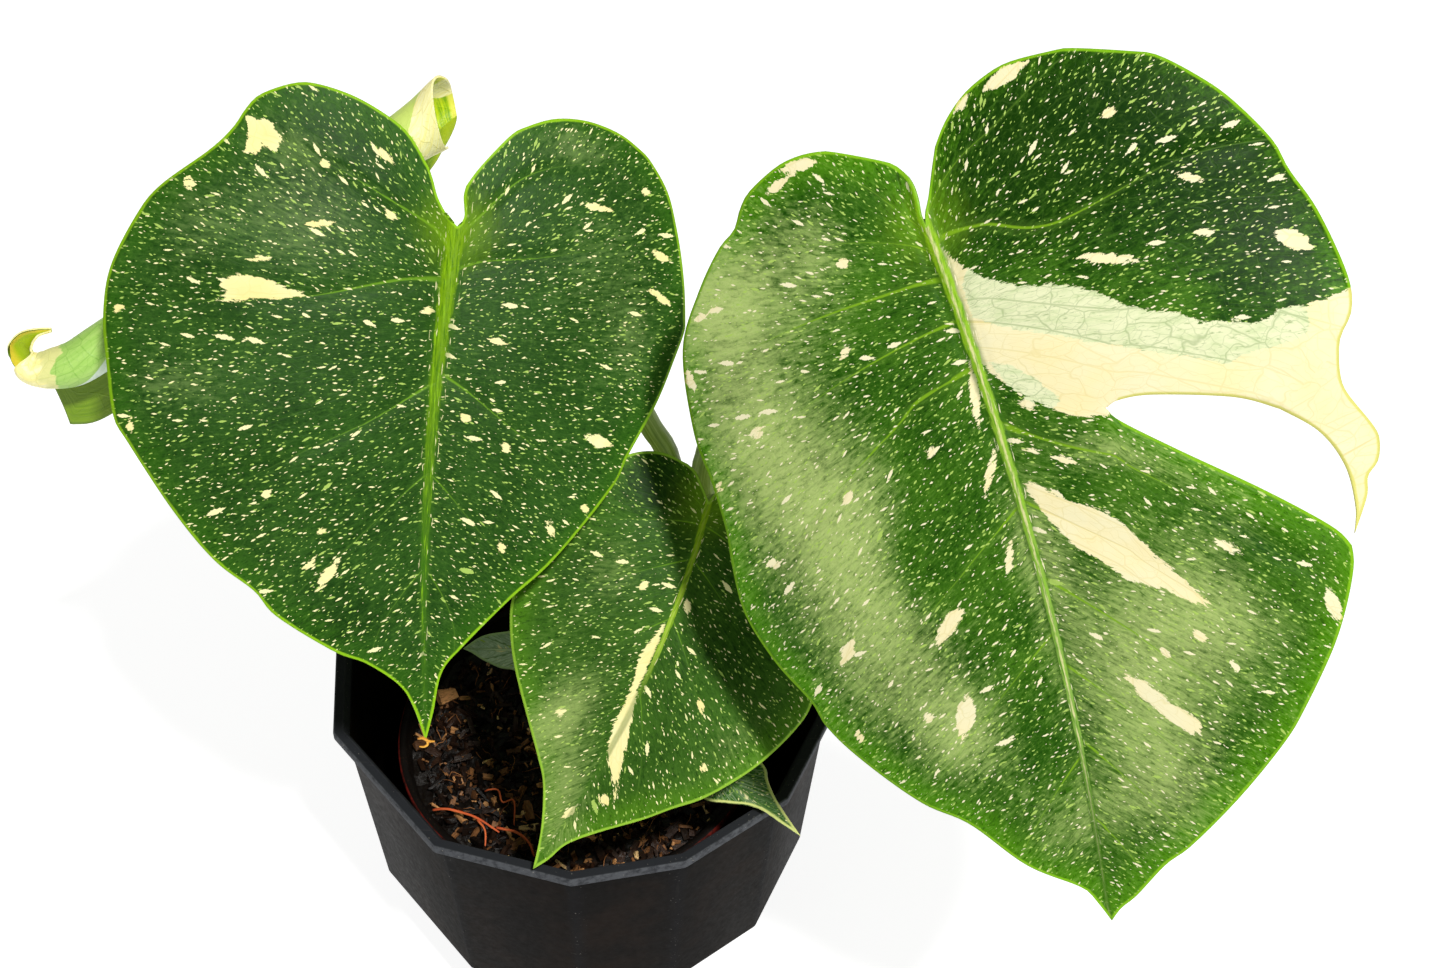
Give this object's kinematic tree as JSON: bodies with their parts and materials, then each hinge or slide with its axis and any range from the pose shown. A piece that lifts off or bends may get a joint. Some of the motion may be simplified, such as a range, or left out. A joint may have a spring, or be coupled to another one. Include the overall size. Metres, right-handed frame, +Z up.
{
  "type": "potted creme brulee monstera",
  "caption": "Young cream-speckled monstera with heart-shaped blades on long petioles, in a nursery pot of bark mix set in a faceted black cover pot.",
  "frame": {"origin": "centre of the cover pot's foot, on the surface it stands on", "axes": "+Z up; -Y towards the front, where the leaf tips hang; +X towards the split leaf"},
  "size_m": [0.4283, 0.2431, 0.401],
  "materials": {
    "cover_pot_plastic": "satin, slightly dusty",
    "grow_pot_plastic": "matte",
    "bark_mix": "rough",
    "stem_skin": "satin",
    "petiole_skin": "satin",
    "leaf_dark_green": "satin, speckled cream",
    "leaf_fresh_green": "satin, speckled cream",
    "leaf_mid_green": "satin, speckled cream",
    "leaf_cream": "satin",
    "leaf_silver": "satin",
    "leaf_young_dark": "satin, marbled white",
    "feeder_root": "satin"
  },
  "bodies": {
    "root": {"cover_pot": "cover_pot_plastic", "grow_pot": "grow_pot_plastic", "soil": "bark_mix", "stem_with_roots": "stem_skin", "petiole_left": "petiole_skin", "leaf_left": "leaf_dark_green", "petiole_right": "petiole_skin", "leaf_right": "leaf_fresh_green", "petiole_middle": "petiole_skin", "leaf_middle": "leaf_mid_green", "petiole_rolled": "petiole_skin", "leaf_rolled": "leaf_cream", "petiole_young_back": "petiole_skin", "leaf_young_back": "leaf_silver", "petiole_young_front": "petiole_skin", "leaf_young_front": "leaf_young_dark", "orange_rootlets": "feeder_root"}
  },
  "joints": []
}
